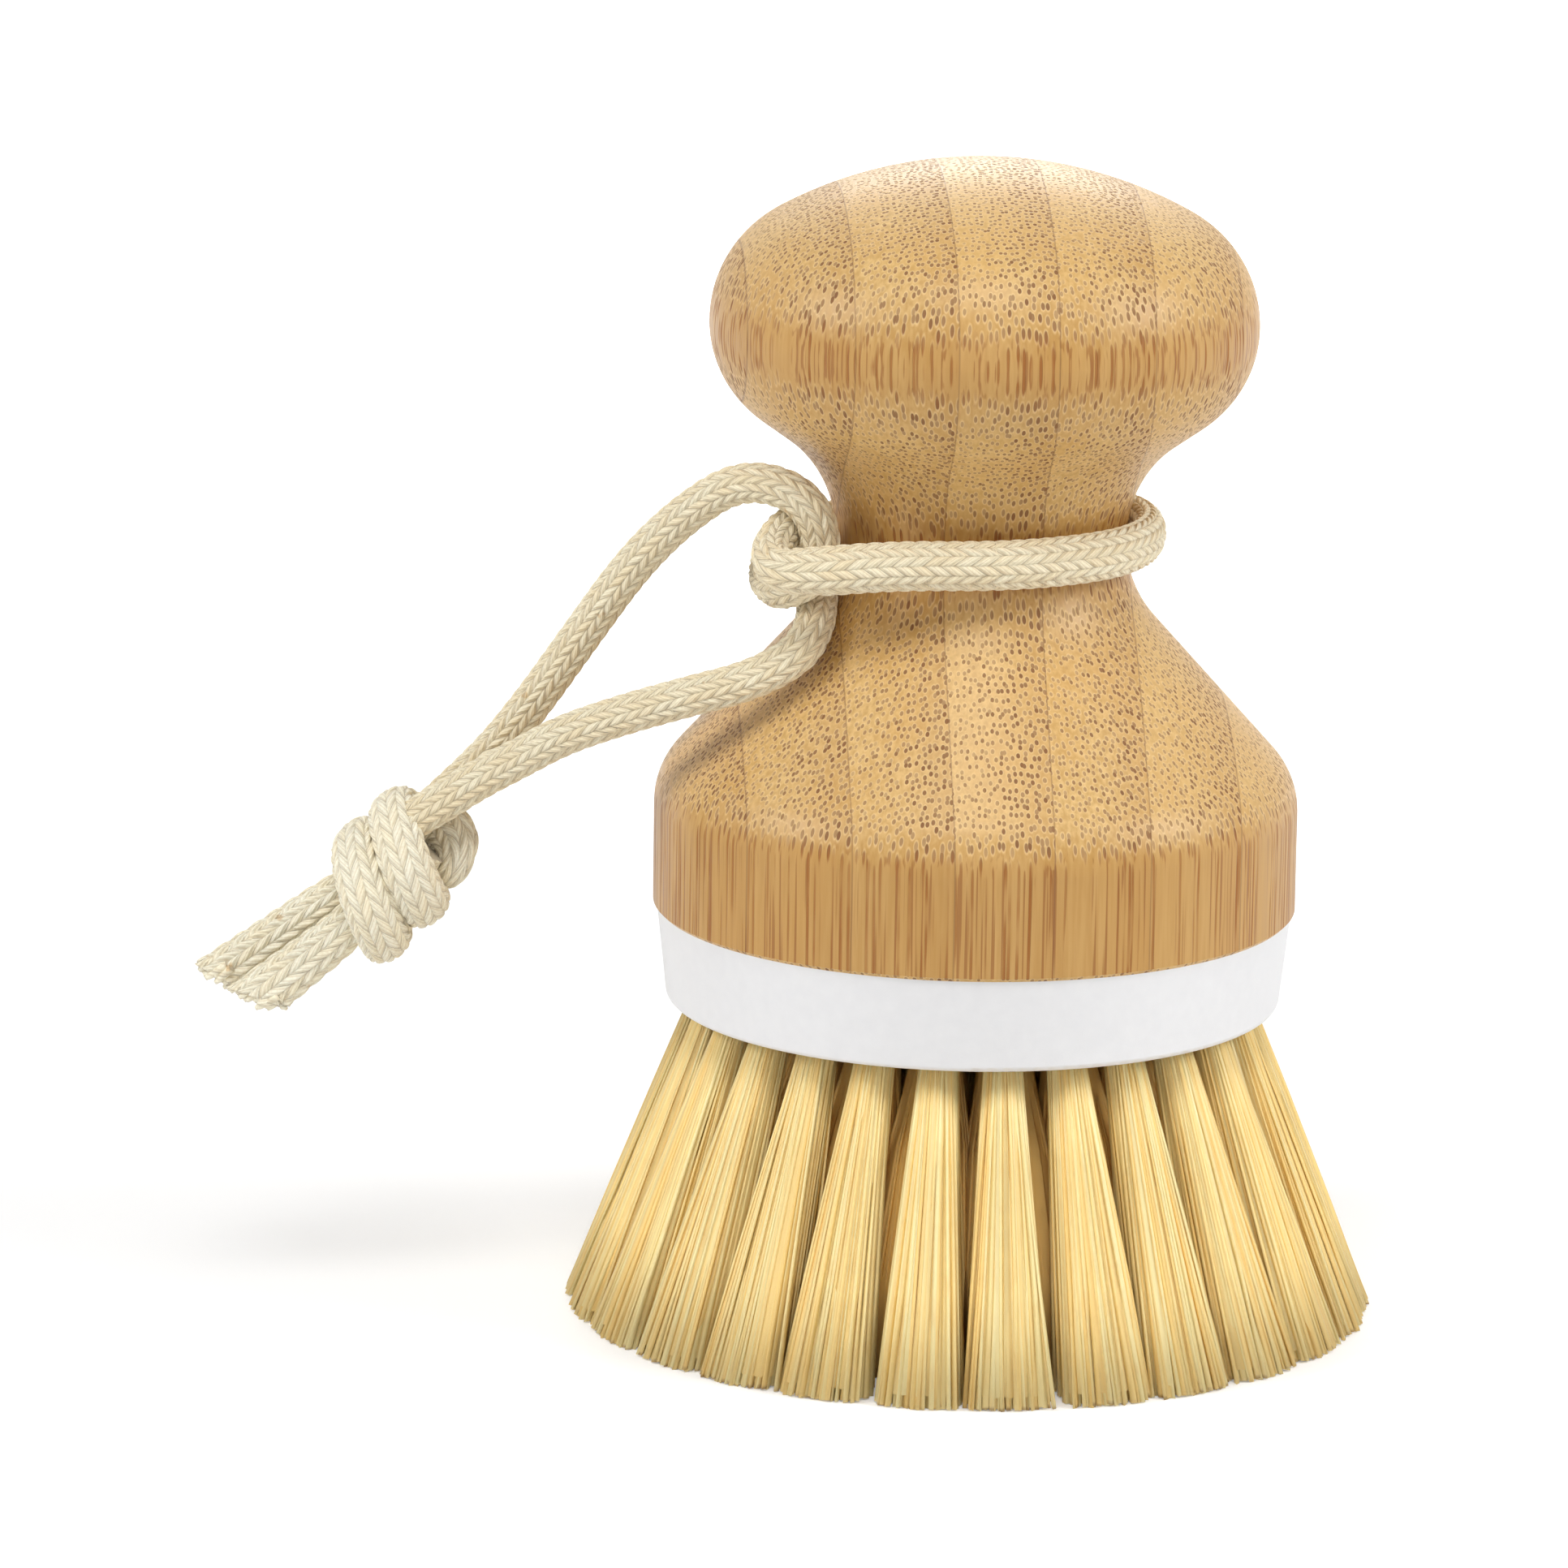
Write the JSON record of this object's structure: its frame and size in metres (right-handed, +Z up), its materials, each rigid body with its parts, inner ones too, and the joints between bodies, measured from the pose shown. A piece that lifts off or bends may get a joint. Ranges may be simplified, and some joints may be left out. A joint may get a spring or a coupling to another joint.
{
  "type": "dish brush",
  "caption": "Palm dish brush: turned laminated-bamboo knob handle on a white plastic head with flaring plant-fibre tufts, and a knotted braided-cotton hanging loop round the neck.",
  "frame": {"origin": "centre of the bristles' trim plane, under the handle's axis", "axes": "+Z up along the handle's axis, -Y towards the viewer, -X towards the knotted end of the cord"},
  "size_m": [0.0945, 0.066, 0.0938],
  "materials": {
    "bamboo": "oiled satin",
    "head_plastic": "satin",
    "plant_fibre": "natural fibre",
    "anchor_wire": "drawn wire",
    "cotton_cord": "braided cotton"
  },
  "bodies": {
    "handle": {"bamboo_core_strip": "bamboo", "bamboo_inner_left_strip": "bamboo", "bamboo_inner_right_strip": "bamboo", "base_left_strip": "bamboo", "base_left_edge_strip": "bamboo", "base_right_strip": "bamboo", "base_right_edge_strip": "bamboo", "knob_left_strip": "bamboo", "knob_left_edge_strip": "bamboo", "knob_right_strip": "bamboo", "knob_right_edge_strip": "bamboo", "bristle_head": "head_plastic", "tuft_01": "plant_fibre", "tuft_02": "plant_fibre", "tuft_03": "plant_fibre", "tuft_04": "plant_fibre", "tuft_05": "plant_fibre", "tuft_06": "plant_fibre", "tuft_07": "plant_fibre", "tuft_08": "plant_fibre", "tuft_09": "plant_fibre", "tuft_10": "plant_fibre", "tuft_11": "plant_fibre", "tuft_12": "plant_fibre", "tuft_13": "plant_fibre", "tuft_14": "plant_fibre", "tuft_15": "plant_fibre", "tuft_16": "plant_fibre", "tuft_17": "plant_fibre", "tuft_18": "plant_fibre", "tuft_19": "plant_fibre", "tuft_20": "plant_fibre", "tuft_21": "plant_fibre", "tuft_22": "plant_fibre", "tuft_23": "plant_fibre", "tuft_24": "plant_fibre", "tuft_25": "plant_fibre", "tuft_26": "plant_fibre", "tufts_row_2": "plant_fibre", "tufts_row_3": "plant_fibre", "tufts_row_4": "plant_fibre", "tufts_row_5": "plant_fibre", "tuft_anchors_row_1": "anchor_wire", "tuft_anchors_row_2": "anchor_wire", "tuft_anchors_row_3": "anchor_wire", "tuft_anchors_row_4": "anchor_wire", "tuft_anchors_row_5": "anchor_wire"},
    "neck_loop": {"cord_neck_hitch": "cotton_cord"},
    "tail": {"cord_upper_strand": "cotton_cord", "cord_lower_strand": "cotton_cord", "cord_knot": "cotton_cord", "cord_end_a": "cotton_cord", "cord_end_b": "cotton_cord"}
  },
  "joints": [
    {"name": "loop_swivel", "type": "hinge", "parent": "handle", "child": "neck_loop", "pos_m": [0, 0, 0.0635], "axis": [0, 0, 1], "continuous": true},
    {"name": "loop_swing", "type": "hinge", "parent": "neck_loop", "child": "tail", "pos_m": [-0.013, -0.0095, 0.062], "axis": [0, 1, 0], "range_deg": [0, 80], "deforming": ["cord_upper_strand", "cord_lower_strand"]}
  ]
}
